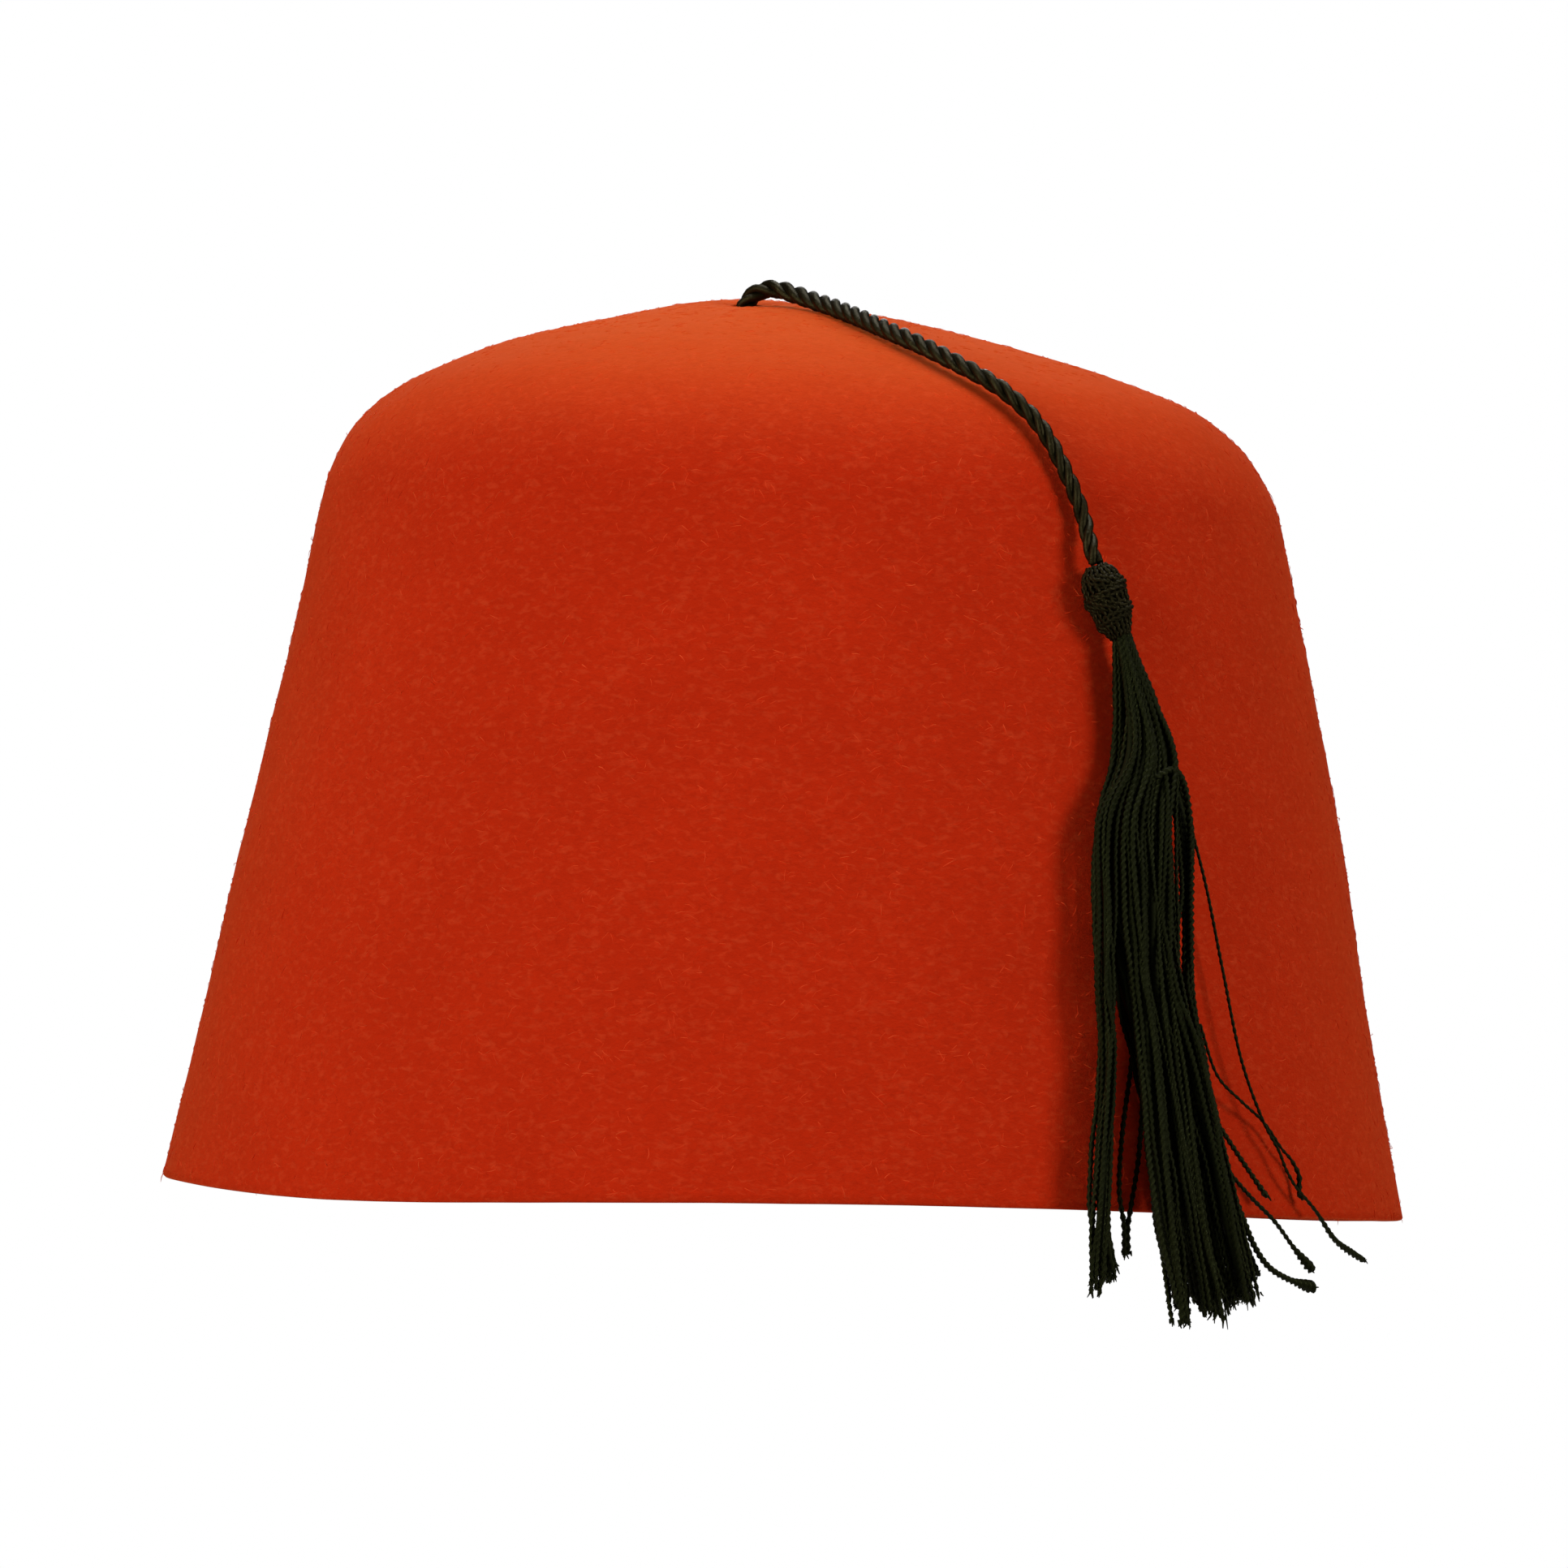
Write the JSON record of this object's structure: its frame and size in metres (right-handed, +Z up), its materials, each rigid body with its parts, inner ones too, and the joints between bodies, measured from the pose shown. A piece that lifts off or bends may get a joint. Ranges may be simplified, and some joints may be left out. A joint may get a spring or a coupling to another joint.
{
  "type": "fez hat",
  "caption": "Red wool-felt fez with straight tapering wall, rounded shoulder and low dome, with a black cord from the crown carrying a tassel that hangs below the rim.",
  "frame": {"origin": "centre of the rim's opening, in the plane of the rim, where a head goes in", "axes": "+Z up along the hat's axis to the crown, -Y to the front, where the picture was taken from, +X to the viewer's right"},
  "size_m": [0.189, 0.189, 0.1551],
  "materials": {
    "red_wool_felt": "matt pressed wool felt with short fibres",
    "black_cord": "twisted cord with a low sheen",
    "black_thread": "twisted rayon thread with a low sheen"
  },
  "bodies": {
    "root": {"felt_cap": "red_wool_felt", "stop_knot": "black_cord", "tassel_cord": "black_cord", "tassel_head": "black_thread", "tassel_skirt": "black_thread"}
  },
  "joints": []
}
